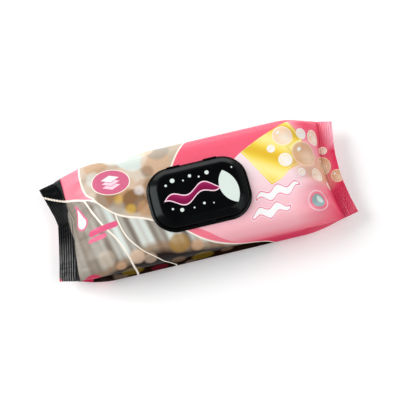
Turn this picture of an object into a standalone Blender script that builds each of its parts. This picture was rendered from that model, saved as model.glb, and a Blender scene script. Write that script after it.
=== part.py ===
"""Wet wipes pack: a sealed film pack of folded wipes under a hinged flip-top lid.

Metres, +Z up. X runs along the pack and the lid hinges on its +Y side. The
pack lies flat on z = 0, with the middle of its box at x = y = 0.
"""
import math

import bmesh
import bpy
from mathutils import Matrix, Vector

# Film pack
PACK_LENGTH = 0.250
BODY_WIDTH = 0.095
BODY_HEIGHT = 0.039
SHOULDER_RADIUS = 0.014
FOOT_RADIUS = 0.008
END_RUN = 0.036
FOOT_RUN = 0.032
SIDE_RUN = 0.047
TUCK_DEPTH = 0.009
TUCK_RUN = 0.040
FOLD_HEIGHT = 0.0013
FOLD_PITCH = 0.017

# Crimped seal at each end
SEAL_LENGTH = 0.013
SEAL_WIDTH = 0.081
SEAL_THICKNESS = 0.0009
SEAL_LEVEL = 0.015
SEAL_WAVE = 0.0022
RIDGE_PITCH = 0.0018
RIDGE_HEIGHT = 0.0005
# How deep each seal is drawn in, where along its width, and how pointed that is
LEFT_DIP = (0.0090, 0.19, 1.15)
RIGHT_DIP = (0.0063, 0.05, 1.35)

# Back seam, shown as two shallow creases in the flat underside
SEAM_WIDTH = 0.012
CREASE_WIDTH = 0.0008
CREASE_DEPTH = 0.0004

# Lid frame, glued to the top of the film
FRAME_LENGTH = 0.083
FRAME_DEPTH = 0.055
FRAME_RADIUS = 0.0190
FRAME_BOW = 0.0018
FRAME_SHIFT = -0.003
FLANGE = 0.0012
EDGE_ROUND = 0.0005
COLLAR_RISE = 0.0025
COLLAR_WALL = 0.0010
BEAD = 0.0003
BEAD_RISE = 0.0005
DECK_WIDTH = 0.0058

# Flip lid, whose outline is the frame's drawn in by a margin
LID_MARGIN = 0.0027
LID_WALL = 0.0012
SKIRT_HEIGHT = 0.0028
BEVEL_RUN = 0.0055
BEVEL_RISE = 0.0034
PLUG_WALL = 0.0008
PLUG_REACH = 0.0007
LIP_LENGTH = 0.016
LIP_DEPTH = 0.0011
LIP_THICKNESS = 0.0009

# Living hinge, two straps on the +Y side
STRAP_WIDTH = 0.011
STRAP_SPACING = 0.0304
STRAP_THICKNESS = 0.00035
HINGE_MARGIN = 0.0013
HINGE_RISE = 0.0016

# Peel label over the cut in the film
LABEL_THICKNESS = 0.0003
LABEL_MARGIN = 0.0016
LABEL_ROUNDING = 0.45
TAB_LENGTH = 0.006
TAB_WIDTH = 0.012

# Clearances
SEAT_GAP = 0.0003
SKIRT_GAP = 0.0004
SNAP_GAP = 0.0006
PLUG_GAP = 0.0004
HINGE_GAP = 0.0003

# Steps of the curved shapes
TOP_STEPS = 24
BOTTOM_STEPS = 6
SHOULDER_STEPS = 6
FOOT_STEPS = 4
END_STEPS = 12
MIDDLE_STEPS = 5
CORNER_STEPS = 8
EDGE_STEPS = 6

RIDGE_COUNT = max(2, round(SEAL_LENGTH / RIDGE_PITCH))
FRAME_BASE = BODY_HEIGHT + SEAT_GAP
FLANGE_TOP = FRAME_BASE + FLANGE
SKIRT_BOTTOM = FLANGE_TOP + SKIRT_GAP
SKIRT_TOP = SKIRT_BOTTOM + SKIRT_HEIGHT
LID_TOP = SKIRT_TOP + BEVEL_RISE
COLLAR_TOP = FLANGE_TOP + COLLAR_RISE
SKIRT_INSIDE = LID_MARGIN + LID_WALL
BEAD_INSET = SKIRT_INSIDE + SNAP_GAP
COLLAR_OUTSIDE = BEAD_INSET + BEAD
COLLAR_INSIDE = COLLAR_OUTSIDE + COLLAR_WALL
OPENING_INSET = COLLAR_INSIDE + DECK_WIDTH
PLUG_OUTSIDE = COLLAR_INSIDE + PLUG_GAP
PLUG_INSIDE = PLUG_OUTSIDE + PLUG_WALL
HINGE_Y = FRAME_SHIFT + FRAME_DEPTH / 2 - HINGE_MARGIN
HINGE_Z = FLANGE_TOP + HINGE_RISE


def clamp(value, low=0.0, high=1.0):
    return min(max(value, low), high)


def smooth(value):
    """Rise from 0 to 1 with level ends."""
    value = clamp(value)
    return value * value * (3.0 - 2.0 * value)


def swell(value):
    """Rise from 0 to 1 that starts steeply and ends level, as film over a stack."""
    value = clamp(value)
    return (1.0 - (1.0 - value) ** 1.7) ** (1.0 / 1.7)


def bump(value):
    """Rise from 0 to 1 and back to 0."""
    return math.sin(math.pi * clamp(value)) ** 2


def clear_scene():
    for obj in list(bpy.data.objects):
        bpy.data.objects.remove(obj, do_unlink=True)


def make_material(name, color, roughness, metallic=0.0):
    material = bpy.data.materials.new(name)
    material.use_nodes = True
    shader = material.node_tree.nodes["Principled BSDF"]
    shader.inputs["Base Color"].default_value = (*color, 1.0)
    shader.inputs["Roughness"].default_value = roughness
    shader.inputs["Metallic"].default_value = metallic
    material.diffuse_color = (*color, 1.0)
    return material


def add_node(name, bm, material, origin=(0.0, 0.0, 0.0), sharp_angle=35.0):
    """Turn a bmesh in world coordinates into a node with its origin at the given point."""
    bmesh.ops.translate(bm, vec=-Vector(origin), verts=bm.verts)
    bmesh.ops.recalc_face_normals(bm, faces=bm.faces)
    mesh = bpy.data.meshes.new(name)
    bm.to_mesh(mesh)
    bm.free()
    mesh.shade_smooth()
    mesh.set_sharp_from_angle(angle=math.radians(sharp_angle))
    mesh.materials.append(material)
    obj = bpy.data.objects.new(name, mesh)
    obj.location = origin
    bpy.context.scene.collection.objects.link(obj)
    return obj


def loft(loops, close_ends=True):
    """Skin a list of closed loops that all have as many points."""
    bm = bmesh.new()
    rows = [[bm.verts.new(point) for point in loop] for loop in loops]
    count = len(rows[0])
    for row, following in zip(rows, rows[1:]):
        for i in range(count):
            j = (i + 1) % count
            bm.faces.new((row[i], row[j], following[j], following[i]))
    if close_ends:
        bm.faces.new(rows[0][::-1])
        bm.faces.new(rows[-1])
    return bm


# Film pack

def seal_dip(side, across):
    """How far the seal's edge is drawn in, at -1 (near side) to 1 (far side) across it."""
    depth, peak, power = RIGHT_DIP if side > 0 else LEFT_DIP
    reach = 1.0 - peak if across > peak else 1.0 + peak
    return depth * (1.0 - clamp(abs(across - peak) / reach) ** power)


def seal_shift(side, inward, across):
    """How far the film at a seal waves up or down; it fades out towards the body."""
    fade = 1.0 - smooth((inward - 0.4 * SEAL_LENGTH) / (0.6 * SEAL_LENGTH + 0.3 * END_RUN))
    wave = SEAL_WAVE * math.sin(3.6 * across + (0.9 if side > 0 else 2.6))
    curl = 1.6 * SEAL_WAVE * smooth((side * across - 0.55) / 0.45)
    return (wave + curl) * fade


def crimp(inward):
    """Height of the ridges that run across the seal."""
    if inward > SEAL_LENGTH * (1.0 - 0.25 / RIDGE_COUNT):
        return 0.0
    return 0.5 * RIDGE_HEIGHT * math.cos(2.0 * math.pi * RIDGE_COUNT * inward / SEAL_LENGTH)


def gather(side, inward, y):
    """Folds in the top of the film, which run in from a seal and die out on the body."""
    start = (inward - SEAL_LENGTH) / END_RUN
    spread = 1.0 + 0.25 * clamp(start)
    phase = 1.3 if side > 0 else 4.1
    folds = 0.6 * math.sin(2.0 * math.pi * y / (FOLD_PITCH * spread) + phase)
    folds += 0.4 * math.sin(3.4 * math.pi * y / (FOLD_PITCH * spread) + 2.0 * phase)
    return FOLD_HEIGHT * folds * bump(start * 0.9 + 0.08)


def section(inward):
    """The closed cross-section of the pack, a distance in from a seal's edge."""
    start = inward - SEAL_LENGTH
    rise = swell(start / END_RUN)
    half_film = SEAL_THICKNESS / 2
    level = SEAL_LEVEL + (0.45 * BODY_HEIGHT - SEAL_LEVEL) * rise
    top = SEAL_LEVEL + half_film + (BODY_HEIGHT - SEAL_LEVEL - half_film) * rise
    bottom = (SEAL_LEVEL - half_film) * (1.0 - swell(start / FOOT_RUN))
    widening = math.sin(0.5 * math.pi * clamp(inward / SIDE_RUN))
    half = SEAL_WIDTH / 2 + (BODY_WIDTH - SEAL_WIDTH) / 2 * widening
    tuck = TUCK_DEPTH * bump(start / TUCK_RUN)
    shoulder = min(SHOULDER_RADIUS, 0.85 * (top - level))
    foot = min(FOOT_RADIUS, 0.85 * (level - bottom))

    reach = half - SHOULDER_RADIUS
    shoulder_curve = corner(half, SHOULDER_RADIUS, top, shoulder, SHOULDER_STEPS)
    foot_curve = corner(half, FOOT_RADIUS, bottom, -foot, FOOT_STEPS)
    floor = underside(half - FOOT_RADIUS, bottom)

    outline = [(tuck - half, level)]
    outline += [(-y, z) for y, z in shoulder_curve]
    outline += [(reach * (2.0 * i / TOP_STEPS - 1.0), top) for i in range(1, TOP_STEPS)]
    outline += shoulder_curve[::-1]
    outline.append((half - tuck, level))
    outline += foot_curve + floor
    outline += [(-y, z) for y, z in (foot_curve + floor)[::-1]]
    return outline


def corner(half, radius, edge, drop, steps):
    """A quarter-ellipse from the side wall round to the level edge, drop below it."""
    points = []
    for i in range(steps + 1):
        angle = 0.5 * math.pi * i / steps
        points.append((half - radius + radius * math.cos(angle), edge - drop + drop * math.sin(angle)))
    return points


def underside(edge, bottom):
    """Points of the underside from one foot in to the middle, with the seam's crease."""
    crease = SEAM_WIDTH / 2
    points = [(edge + (crease + CREASE_WIDTH - edge) * i / BOTTOM_STEPS, bottom)
              for i in range(1, BOTTOM_STEPS)]
    points.append((crease + CREASE_WIDTH / 2, bottom))
    points.append((crease, bottom + CREASE_DEPTH))
    points.append((crease - CREASE_WIDTH / 2, bottom))
    return points


def film_stations():
    """Side and distance in from the seal's edge of each cross-section, left to right."""
    inward = [SEAL_LENGTH * i / (2 * RIDGE_COUNT) for i in range(2 * RIDGE_COUNT)]
    inward += [SEAL_LENGTH + END_RUN * (i / END_STEPS) ** 1.4 for i in range(END_STEPS + 1)]
    end = inward[-1]
    inward += [end + (PACK_LENGTH / 2 - end) * i / MIDDLE_STEPS for i in range(1, MIDDLE_STEPS + 1)]
    return [(-1, value) for value in inward] + [(1, value) for value in inward[-2::-1]]


def film_point(side, inward, y, z):
    """Place one point of a cross-section in the pack."""
    across = clamp(y / (SEAL_WIDTH / 2), -1.0, 1.0)
    fade = 1.0 - smooth((inward - SEAL_LENGTH) / END_RUN)
    x = side * (PACK_LENGTH / 2 - inward - seal_dip(side, across) * fade)
    upper = z > SEAL_LEVEL
    z += seal_shift(side, inward, across) + crimp(inward)
    if upper:
        z += gather(side, inward, y)
    return (x, y, max(z, 0.0))


def build_film_pack():
    loops = []
    for side, inward in film_stations():
        loops.append([film_point(side, inward, y, z) for y, z in section(inward)])
    film = make_material("printed_film", (0.86, 0.36, 0.45), 0.3)
    return add_node("film_pack", loft(loops), film)


# Lid frame, flip lid and peel label

def frame_outline(inset):
    """The frame's outline drawn in by an inset: a rounded rectangle with bowed short sides."""
    half_x = FRAME_LENGTH / 2 - inset
    half_y = FRAME_DEPTH / 2 - inset
    radius = FRAME_RADIUS - inset
    corner_x, corner_y = half_x - radius, half_y - radius
    points = []
    for quarter, (sign_x, sign_y) in enumerate(((1, 1), (-1, 1), (-1, -1), (1, -1))):
        for i in range(CORNER_STEPS + 1):
            angle = math.radians(90.0 * quarter + 90.0 * i / CORNER_STEPS)
            x = sign_x * corner_x + radius * math.cos(angle)
            points.append((x, sign_y * corner_y + radius * math.sin(angle)))
        for i in range(1, EDGE_STEPS):
            step = 1.0 - 2.0 * i / EDGE_STEPS
            on_short_side = quarter % 2 == 1
            x = sign_x * (half_x if on_short_side else step * corner_x)
            points.append((x, sign_y * (step * corner_y if on_short_side else half_y)))
    return [(x * (1.0 - FRAME_BOW / half_x * (y / half_y) ** 2), y) for x, y in points]


def frame_loop(inset, z):
    return [(x, y + FRAME_SHIFT, z) for x, y in frame_outline(inset)]


def add_guide_box(name, low, high):
    """A hidden block that a Boolean joins to a moulding."""
    bm = bmesh.new()
    size = [high[i] - low[i] for i in range(3)]
    middle = [(high[i] + low[i]) / 2 for i in range(3)]
    bmesh.ops.create_cube(bm, size=1.0, matrix=Matrix.Translation(middle) @ Matrix.Diagonal((*size, 1.0)))
    mesh = bpy.data.meshes.new(name)
    bm.to_mesh(mesh)
    bm.free()
    guide = bpy.data.objects.new(name, mesh)
    guide.hide_render = True
    guide.display_type = "WIRE"
    bpy.context.scene.collection.objects.link(guide)
    return guide


def join_guide(obj, guide):
    modifier = obj.modifiers.new(guide.name, "BOOLEAN")
    modifier.operation = "UNION"
    modifier.solver = "EXACT"
    modifier.object = guide


def strap_centres():
    return (-STRAP_SPACING / 2, STRAP_SPACING / 2)


def build_lid_frame(plastic):
    profile = [
        (0.0, FRAME_BASE),
        (0.0, FLANGE_TOP - EDGE_ROUND),
        (0.3 * EDGE_ROUND, FLANGE_TOP - 0.3 * EDGE_ROUND),
        (EDGE_ROUND, FLANGE_TOP),
        (COLLAR_OUTSIDE, FLANGE_TOP),
        (COLLAR_OUTSIDE, COLLAR_TOP - 3 * BEAD_RISE),
        (BEAD_INSET, COLLAR_TOP - 2 * BEAD_RISE),
        (BEAD_INSET, COLLAR_TOP - BEAD_RISE),
        (COLLAR_OUTSIDE, COLLAR_TOP),
        (COLLAR_INSIDE, COLLAR_TOP),
        (COLLAR_INSIDE, FLANGE_TOP),
        (OPENING_INSET - EDGE_ROUND, FLANGE_TOP),
        (OPENING_INSET, FLANGE_TOP - EDGE_ROUND),
        (OPENING_INSET, FRAME_BASE),
    ]
    loops = [frame_loop(inset, z) for inset, z in profile]
    frame = add_node("lid_frame", loft(loops + loops[:1], close_ends=False), plastic)
    post_top = HINGE_Z - STRAP_THICKNESS / 2 - HINGE_GAP
    for i, x in enumerate(strap_centres()):
        low = (x - STRAP_WIDTH / 2, HINGE_Y - HINGE_MARGIN / 4, FLANGE_TOP - FLANGE / 2)
        high = (x + STRAP_WIDTH / 2, HINGE_Y + HINGE_MARGIN - EDGE_ROUND / 2, post_top)
        join_guide(frame, add_guide_box(f"guide_post_{i + 1}", low, high))
    return frame


def bevel_height(inset):
    """Height of the lid's outer bevel above the skirt's top at an inset."""
    return BEVEL_RISE * clamp((inset - LID_MARGIN) / BEVEL_RUN)


def build_flip_lid(plastic):
    slope = math.hypot(BEVEL_RUN, BEVEL_RISE) / BEVEL_RUN
    under_bevel = SKIRT_TOP - LID_WALL * slope
    bevel_end = LID_MARGIN + BEVEL_RUN
    flat_start = bevel_end + LID_WALL / 2
    profile = [
        (bevel_end + 0.002, LID_TOP),
        (bevel_end + EDGE_ROUND, LID_TOP),
        (bevel_end - EDGE_ROUND, SKIRT_TOP + bevel_height(bevel_end - EDGE_ROUND)),
        (LID_MARGIN + EDGE_ROUND, SKIRT_TOP + bevel_height(LID_MARGIN + EDGE_ROUND)),
        (LID_MARGIN, SKIRT_TOP - EDGE_ROUND),
        (LID_MARGIN, SKIRT_BOTTOM),
        (SKIRT_INSIDE, SKIRT_BOTTOM),
        (SKIRT_INSIDE, under_bevel + bevel_height(SKIRT_INSIDE)),
        (PLUG_OUTSIDE, under_bevel + bevel_height(PLUG_OUTSIDE)),
        (PLUG_OUTSIDE, COLLAR_TOP - PLUG_REACH),
        (PLUG_INSIDE, COLLAR_TOP - PLUG_REACH),
        (PLUG_INSIDE, under_bevel + bevel_height(PLUG_INSIDE)),
        (flat_start, LID_TOP - LID_WALL),
        (flat_start + 0.002, LID_TOP - LID_WALL),
    ]
    loops = [frame_loop(inset, z) for inset, z in profile]
    hinge = Vector((0.0, HINGE_Y, HINGE_Z))
    lid = add_node("flip_lid", loft(loops), plastic, origin=hinge)
    skirt_y = FRAME_SHIFT + FRAME_DEPTH / 2 - LID_MARGIN
    for i, x in enumerate(strap_centres()):
        low = (x - STRAP_WIDTH / 2, skirt_y - LID_WALL / 2, HINGE_Z - STRAP_THICKNESS / 2)
        high = (x + STRAP_WIDTH / 2, HINGE_Y, HINGE_Z + STRAP_THICKNESS / 2)
        join_guide(lid, add_guide_box(f"guide_strap_{i + 1}", low, high))
    front_y = FRAME_SHIFT - FRAME_DEPTH / 2 + LID_MARGIN
    low = (-LIP_LENGTH / 2, front_y - LIP_DEPTH, SKIRT_BOTTOM + SKIRT_GAP)
    high = (LIP_LENGTH / 2, front_y + LID_WALL / 2, SKIRT_BOTTOM + SKIRT_GAP + LIP_THICKNESS)
    join_guide(lid, add_guide_box("guide_lip", low, high))
    return lid


def build_peel_label():
    """A thin label over the cut in the film, with a pull tab at its left end."""
    half_x = FRAME_LENGTH / 2 - OPENING_INSET - LABEL_MARGIN
    half_y = FRAME_DEPTH / 2 - OPENING_INSET - LABEL_MARGIN
    body_left = TAB_LENGTH - half_x
    corner = LABEL_ROUNDING * half_y
    tab_half = min(TAB_WIDTH / 2, half_y - corner)
    corners = (
        (half_x - corner, half_y - corner, corner, 0),
        (body_left + corner, half_y - corner, corner, 90),
        (-half_x + tab_half, 0.0, tab_half, 90),
        (-half_x + tab_half, 0.0, tab_half, 180),
        (body_left + corner, corner - half_y, corner, 180),
        (half_x - corner, corner - half_y, corner, 270),
    )
    outline = []
    for index, (x, y, radius, first) in enumerate(corners):
        for i in range(1 if index == 3 else 0, CORNER_STEPS + 1):
            angle = math.radians(first + 90.0 * i / CORNER_STEPS)
            outline.append((x + radius * math.cos(angle), y + radius * math.sin(angle)))
    base = BODY_HEIGHT + SEAT_GAP
    loops = [[(x, y + FRAME_SHIFT, z) for x, y in outline] for z in (base, base + LABEL_THICKNESS)]
    label = make_material("label_foil", (0.80, 0.82, 0.84), 0.25)
    return add_node("peel_label", loft(loops), label)


def main():
    clear_scene()
    plastic = make_material("black_plastic", (0.012, 0.012, 0.014), 0.2)
    build_film_pack()
    build_lid_frame(plastic)
    build_flip_lid(plastic)
    build_peel_label()


main()
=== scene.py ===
"""Looks of the wet wipes pack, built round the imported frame.

Metres, +Z up, X along the pack, the lid's hinge on the +Y side. Print is drawn
with shader nodes in millimetres: u along the pack, v across the unrolled film.
"""

import math

import bmesh
import bpy
from mathutils import Matrix, Vector


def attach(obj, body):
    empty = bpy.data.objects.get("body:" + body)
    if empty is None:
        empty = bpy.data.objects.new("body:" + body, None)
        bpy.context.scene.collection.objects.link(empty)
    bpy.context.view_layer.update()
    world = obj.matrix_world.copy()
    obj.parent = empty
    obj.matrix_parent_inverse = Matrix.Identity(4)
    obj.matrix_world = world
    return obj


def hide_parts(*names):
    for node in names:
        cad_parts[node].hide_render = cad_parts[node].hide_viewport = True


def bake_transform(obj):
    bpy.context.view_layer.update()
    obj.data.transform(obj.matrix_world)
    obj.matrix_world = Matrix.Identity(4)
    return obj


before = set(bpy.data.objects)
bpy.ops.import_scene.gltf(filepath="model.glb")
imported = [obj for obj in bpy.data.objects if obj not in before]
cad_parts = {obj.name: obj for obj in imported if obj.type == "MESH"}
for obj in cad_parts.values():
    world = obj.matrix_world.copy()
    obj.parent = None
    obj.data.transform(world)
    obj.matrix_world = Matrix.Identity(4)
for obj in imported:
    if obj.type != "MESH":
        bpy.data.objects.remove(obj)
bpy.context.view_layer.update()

# Film pack, as in the source
PACK_LENGTH = 0.250
BODY_WIDTH = 0.095
BODY_HEIGHT = 0.039
SHOULDER_RADIUS = 0.014
FOOT_RADIUS = 0.008
END_RUN = 0.036
FOOT_RUN = 0.032
SIDE_RUN = 0.047
TUCK_DEPTH = 0.009
TUCK_RUN = 0.040
FOLD_HEIGHT = 0.0013
FOLD_PITCH = 0.017
SEAL_LENGTH = 0.013
SEAL_WIDTH = 0.081
SEAL_THICKNESS = 0.0009
SEAL_LEVEL = 0.015
SEAL_WAVE = 0.0022
RIDGE_COUNT = 7
RIDGE_HEIGHT = 0.0005
LEFT_DIP = (0.0090, 0.19, 1.15)
RIGHT_DIP = (0.0063, 0.05, 1.35)
SEAM_WIDTH = 0.012
CREASE_WIDTH = 0.0008
CREASE_DEPTH = 0.0004

# Lid frame, flip lid and peel label, as in the source
FRAME_LENGTH = 0.083
FRAME_DEPTH = 0.055
FRAME_RADIUS = 0.0190
FRAME_BOW = 0.0018
FRAME_SHIFT = -0.003
FLANGE = 0.0012
COLLAR_RISE = 0.0025
COLLAR_WALL = 0.0010
BEAD = 0.0003
BEAD_RISE = 0.0005
DECK_WIDTH = 0.0058
LID_MARGIN = 0.0027
LID_WALL = 0.0012
SKIRT_HEIGHT = 0.0028
BEVEL_RUN = 0.0055
BEVEL_RISE = 0.0034
PLUG_WALL = 0.0008
PLUG_REACH = 0.0007
LIP_LENGTH = 0.016
LIP_DEPTH = 0.0011
LIP_THICKNESS = 0.0009
STRAP_WIDTH = 0.011
STRAP_SPACING = 0.0304
STRAP_THICKNESS = 0.00035
HINGE_MARGIN = 0.0013
HINGE_RISE = 0.0016
LABEL_THICKNESS = 0.0003
LABEL_MARGIN = 0.0016
LABEL_ROUNDING = 0.45
TAB_LENGTH = 0.006
TAB_WIDTH = 0.012
SEAT_GAP = 0.0003
SKIRT_GAP = 0.0004
SNAP_GAP = 0.0006
PLUG_GAP = 0.0004
HINGE_GAP = 0.0003

FRAME_BASE = BODY_HEIGHT + SEAT_GAP
FLANGE_TOP = FRAME_BASE + FLANGE
SKIRT_BOTTOM = FLANGE_TOP + SKIRT_GAP
SKIRT_TOP = SKIRT_BOTTOM + SKIRT_HEIGHT
LID_TOP = SKIRT_TOP + BEVEL_RISE
COLLAR_TOP = FLANGE_TOP + COLLAR_RISE
SKIRT_INSIDE = LID_MARGIN + LID_WALL
BEAD_INSET = SKIRT_INSIDE + SNAP_GAP
COLLAR_OUTSIDE = BEAD_INSET + BEAD
COLLAR_INSIDE = COLLAR_OUTSIDE + COLLAR_WALL
OPENING_INSET = COLLAR_INSIDE + DECK_WIDTH
PLUG_OUTSIDE = COLLAR_INSIDE + PLUG_GAP
PLUG_INSIDE = PLUG_OUTSIDE + PLUG_WALL
HINGE_Y = FRAME_SHIFT + FRAME_DEPTH / 2 - HINGE_MARGIN
HINGE_Z = FLANGE_TOP + HINGE_RISE

# Fine shape that only the looks have
PLEAT_PITCH = 0.0078
PLEAT_HEIGHT = 0.0007
LID_ROUNDING = 0.0022
INSIDE_ROUNDING = 0.00025
FRAME_ROUNDING = 0.0004
FLANGE_EDGE = 0.0005
FLANGE_SLOPE = 0.0019
FLAT_OUTSIDE = 0.006
FLAT_INSIDE = 0.004
LIP_EDGE = 0.0001
LIP_ROOM = 0.0003
LIP_RUN = 0.0015
LABEL_EDGE = 0.0003
POST_ROOM = 0.00025
POST_ROUNDING = 0.0002
STRAP_START = 0.0011
STRAP_OVERLAP = 0.0002
STRAP_EDGE = 0.00012
STRAP_THINNING = 0.45
STRAP_THIN_REACH = 0.00035

# Steps of the finished meshes
SEAL_STATIONS = 56
END_STATIONS = 40
MIDDLE_STATIONS = 60
TOP_STEPS = 108
SHOULDER_STEPS = 14
FOOT_STEPS = 8
BOTTOM_STEPS = 14
CORNER_STEPS = 24
EDGE_STEPS = 40
STRAP_STEPS = 20
LABEL_STEPS = 12

# Print, in millimetres along the pack and across the unrolled film
MM = 1000.0  # In a metre
GROUND_SPAN = 130.0
LINE_HALF = 0.85
BADGE_PLACE = (-67.0, 24.0)
SPOT_PLACE = (93.0, -31.0)
CLOTH_PLACE = (71.0, 19.0)
SEAL_START = 118.0
CREASE_START = 106.0
SEAM_START = 118.6
NEAR_WALL = (-80.0, -50.0)

# Studio: pixels of the square photo, degrees, and lamps as name, place, size and watts
PHOTO_PIXELS = 400.0
ORIGIN_PIXEL = (198.3, 206.5)
CAMERA_LENS = 129.0
CAMERA_AZIMUTH = -14.0
CAMERA_ELEVATION = 71.0
CAMERA_DISTANCE = 1.19
FLOOR_HALF = 4
FLOOR_LEVEL = -0.0003
FLOOR_GLOW = 0.15
LAMPS = (
    ("key", (-1.22, 0.56, 1.02), (1.15, 1.15), 25.0),
    ("far_strip", (0.1, 1.7, 0.34), (2.2, 0.5), 9.0),
    ("fill", (0.95, -0.4, 1.4), (1.3, 1.3), 11.0),
)
LAMP_TARGET = (0.0, 0.0, 0.02)


def clamp(value, low=0.0, high=1.0):
    return min(max(value, low), high)


def smooth(value):
    value = clamp(value)
    return value * value * (3.0 - 2.0 * value)


def swell(value):
    value = clamp(value)
    return (1.0 - (1.0 - value) ** 1.7) ** (1.0 / 1.7)


def bump(value):
    return math.sin(math.pi * clamp(value)) ** 2


# Shader helpers

def linear(red, green, blue):
    """A colour given as 0 to 255 on screen, in the linear values that nodes take."""
    values = []
    for channel in (red, green, blue):
        share = channel / 255.0
        values.append(share / 12.92 if share <= 0.04045 else ((share + 0.055) / 1.055) ** 2.4)
    return (*values, 1.0)


class Nodes:
    """Adds nodes to a tree. A shape of the print is a distance: below zero inside it."""

    def __init__(self, tree, place=None):
        self.tree = tree
        if place is not None:
            split = self.node("ShaderNodeSeparateXYZ")
            self.put(split.inputs[0], place)
            self.x, self.y, self.z = [self.times(axis, MM) for axis in split.outputs]

    def node(self, kind, **settings):
        node = self.tree.nodes.new(kind)
        for name, value in settings.items():
            setattr(node, name, value)
        return node

    def put(self, socket, value):
        if isinstance(value, bpy.types.NodeSocket):
            self.tree.links.new(value, socket)
        else:
            socket.default_value = value

    def math(self, operation, *values, limit=False):
        node = self.node("ShaderNodeMath", operation=operation, use_clamp=limit)
        for socket, value in zip(node.inputs, values):
            self.put(socket, value)
        return node.outputs[0]

    def plus(self, value, other):
        return self.math("ADD", value, other)

    def minus(self, value, other):
        return self.math("SUBTRACT", value, other)

    def times(self, value, other):
        return self.math("MULTIPLY", value, other)

    def scaled(self, value, factor, offset, limit=False):
        """A value times a factor, plus an offset."""
        return self.math("MULTIPLY_ADD", value, factor, offset, limit=limit)

    def abs(self, value):
        return self.math("ABSOLUTE", value)

    def sine(self, value):
        return self.math("SINE", value)

    def line(self, start, end):
        """Distance to the right of the line from start to end."""
        run, rise = end[0] - start[0], end[1] - start[1]
        length = math.hypot(run, rise)
        offset = (start[1] * run - start[0] * rise) / length
        part = self.scaled(self.x, rise / length, offset)
        return self.scaled(self.y, -run / length, part)

    def all_of(self, *shapes):
        result = shapes[0]
        for shape in shapes[1:]:
            result = self.math("MAXIMUM", result, shape)
        return result

    def any_of(self, *shapes):
        result = shapes[0]
        for shape in shapes[1:]:
            result = self.math("MINIMUM", result, shape)
        return result

    def polygon(self, *points):
        """A convex polygon whose points run counter-clockwise."""
        return self.all_of(*[self.line(a, b) for a, b in zip(points, points[1:] + points[:1])])

    def disc(self, x, y, radius, squeeze=1.0, turn=0.0):
        """A disc, or an ellipse whose second radius is squeezed and whose first is turned."""
        dx = self.minus(self.x, x)
        dy = self.minus(self.y, y)
        if squeeze != 1.0:
            cosine, sine = math.cos(math.radians(turn)), math.sin(math.radians(turn))
            along = self.scaled(dx, cosine, self.times(dy, sine))
            across = self.scaled(dy, cosine, self.times(dx, -sine))
            dx, dy = along, self.times(across, 1.0 / squeeze)
        square = self.scaled(dx, dx, self.times(dy, dy))
        return self.minus(self.math("SQRT", square), radius)

    def path(self, points, along):
        """A smooth curve through (position, value) points, read along an input."""
        first, last = points[0][0], points[-1][0]
        low = min(value for _, value in points)
        high = max(value for _, value in points)
        node = self.node("ShaderNodeFloatCurve")
        curve = node.mapping.curves[0]
        span, climb = last - first, high - low
        shares = [((p - first) / span, (v - low) / climb) for p, v in points]
        curve.points[0].location = shares[0]
        curve.points[1].location = shares[-1]
        for share in shares[1:-1]:
            curve.points.new(*share)
        node.mapping.update()
        self.put(node.inputs["Value"], self.scaled(along, 1.0 / span, -first / span, limit=True))
        return self.scaled(node.outputs[0], climb, low)

    def band(self, distance, half):
        """A stroke of a half width along a shape's edge."""
        return self.minus(self.abs(distance), half)

    def mask(self, shape, soft=0.12, strength=1.0):
        share = self.scaled(shape, -0.5 / soft, 0.5, limit=True)
        return share if strength == 1.0 else self.times(share, strength)

    def paint(self, under, colour, shape, soft=0.12, strength=1.0):
        node = self.node("ShaderNodeMix", data_type="RGBA")
        self.put(node.inputs[0], self.mask(shape, soft, strength))
        self.put(node.inputs[6], under)
        self.put(node.inputs[7], colour)
        return node.outputs[2]

    def ramp(self, value, stops):
        """Colours at positions from 0 to 1."""
        node = self.node("ShaderNodeValToRGB")
        elements = node.color_ramp.elements
        elements[0].position, elements[0].color = stops[0]
        elements[1].position, elements[1].color = stops[-1]
        for position, colour in stops[1:-1]:
            elements.new(position).color = colour
        self.put(node.inputs["Fac"], value)
        return node.outputs["Color"]

    def noise(self, vector, scale, detail=3.0, roughness=0.5, stretch=None):
        if stretch is not None:
            mapping = self.node("ShaderNodeMapping")
            mapping.inputs["Scale"].default_value = stretch
            self.put(mapping.inputs["Vector"], vector)
            vector = mapping.outputs[0]
        node = self.node("ShaderNodeTexNoise")
        self.put(node.inputs["Vector"], vector)
        node.inputs["Scale"].default_value = scale
        node.inputs["Detail"].default_value = detail
        node.inputs["Roughness"].default_value = roughness
        return node.outputs[0]

    def relief(self, height, distance, strength, under=None):
        node = self.node("ShaderNodeBump")
        node.inputs["Strength"].default_value = strength
        node.inputs["Distance"].default_value = distance
        self.put(node.inputs["Height"], height)
        if under is not None:
            self.put(node.inputs["Normal"], under)
        return node.outputs[0]

    def spread(self, value, low, high):
        """Move a value from the range 0 to 1 to another range."""
        return self.scaled(value, high - low, low)


def new_material(name):
    material = bpy.data.materials.new(name)
    material.use_nodes = True
    return material, material.node_tree.nodes["Principled BSDF"]


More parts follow.
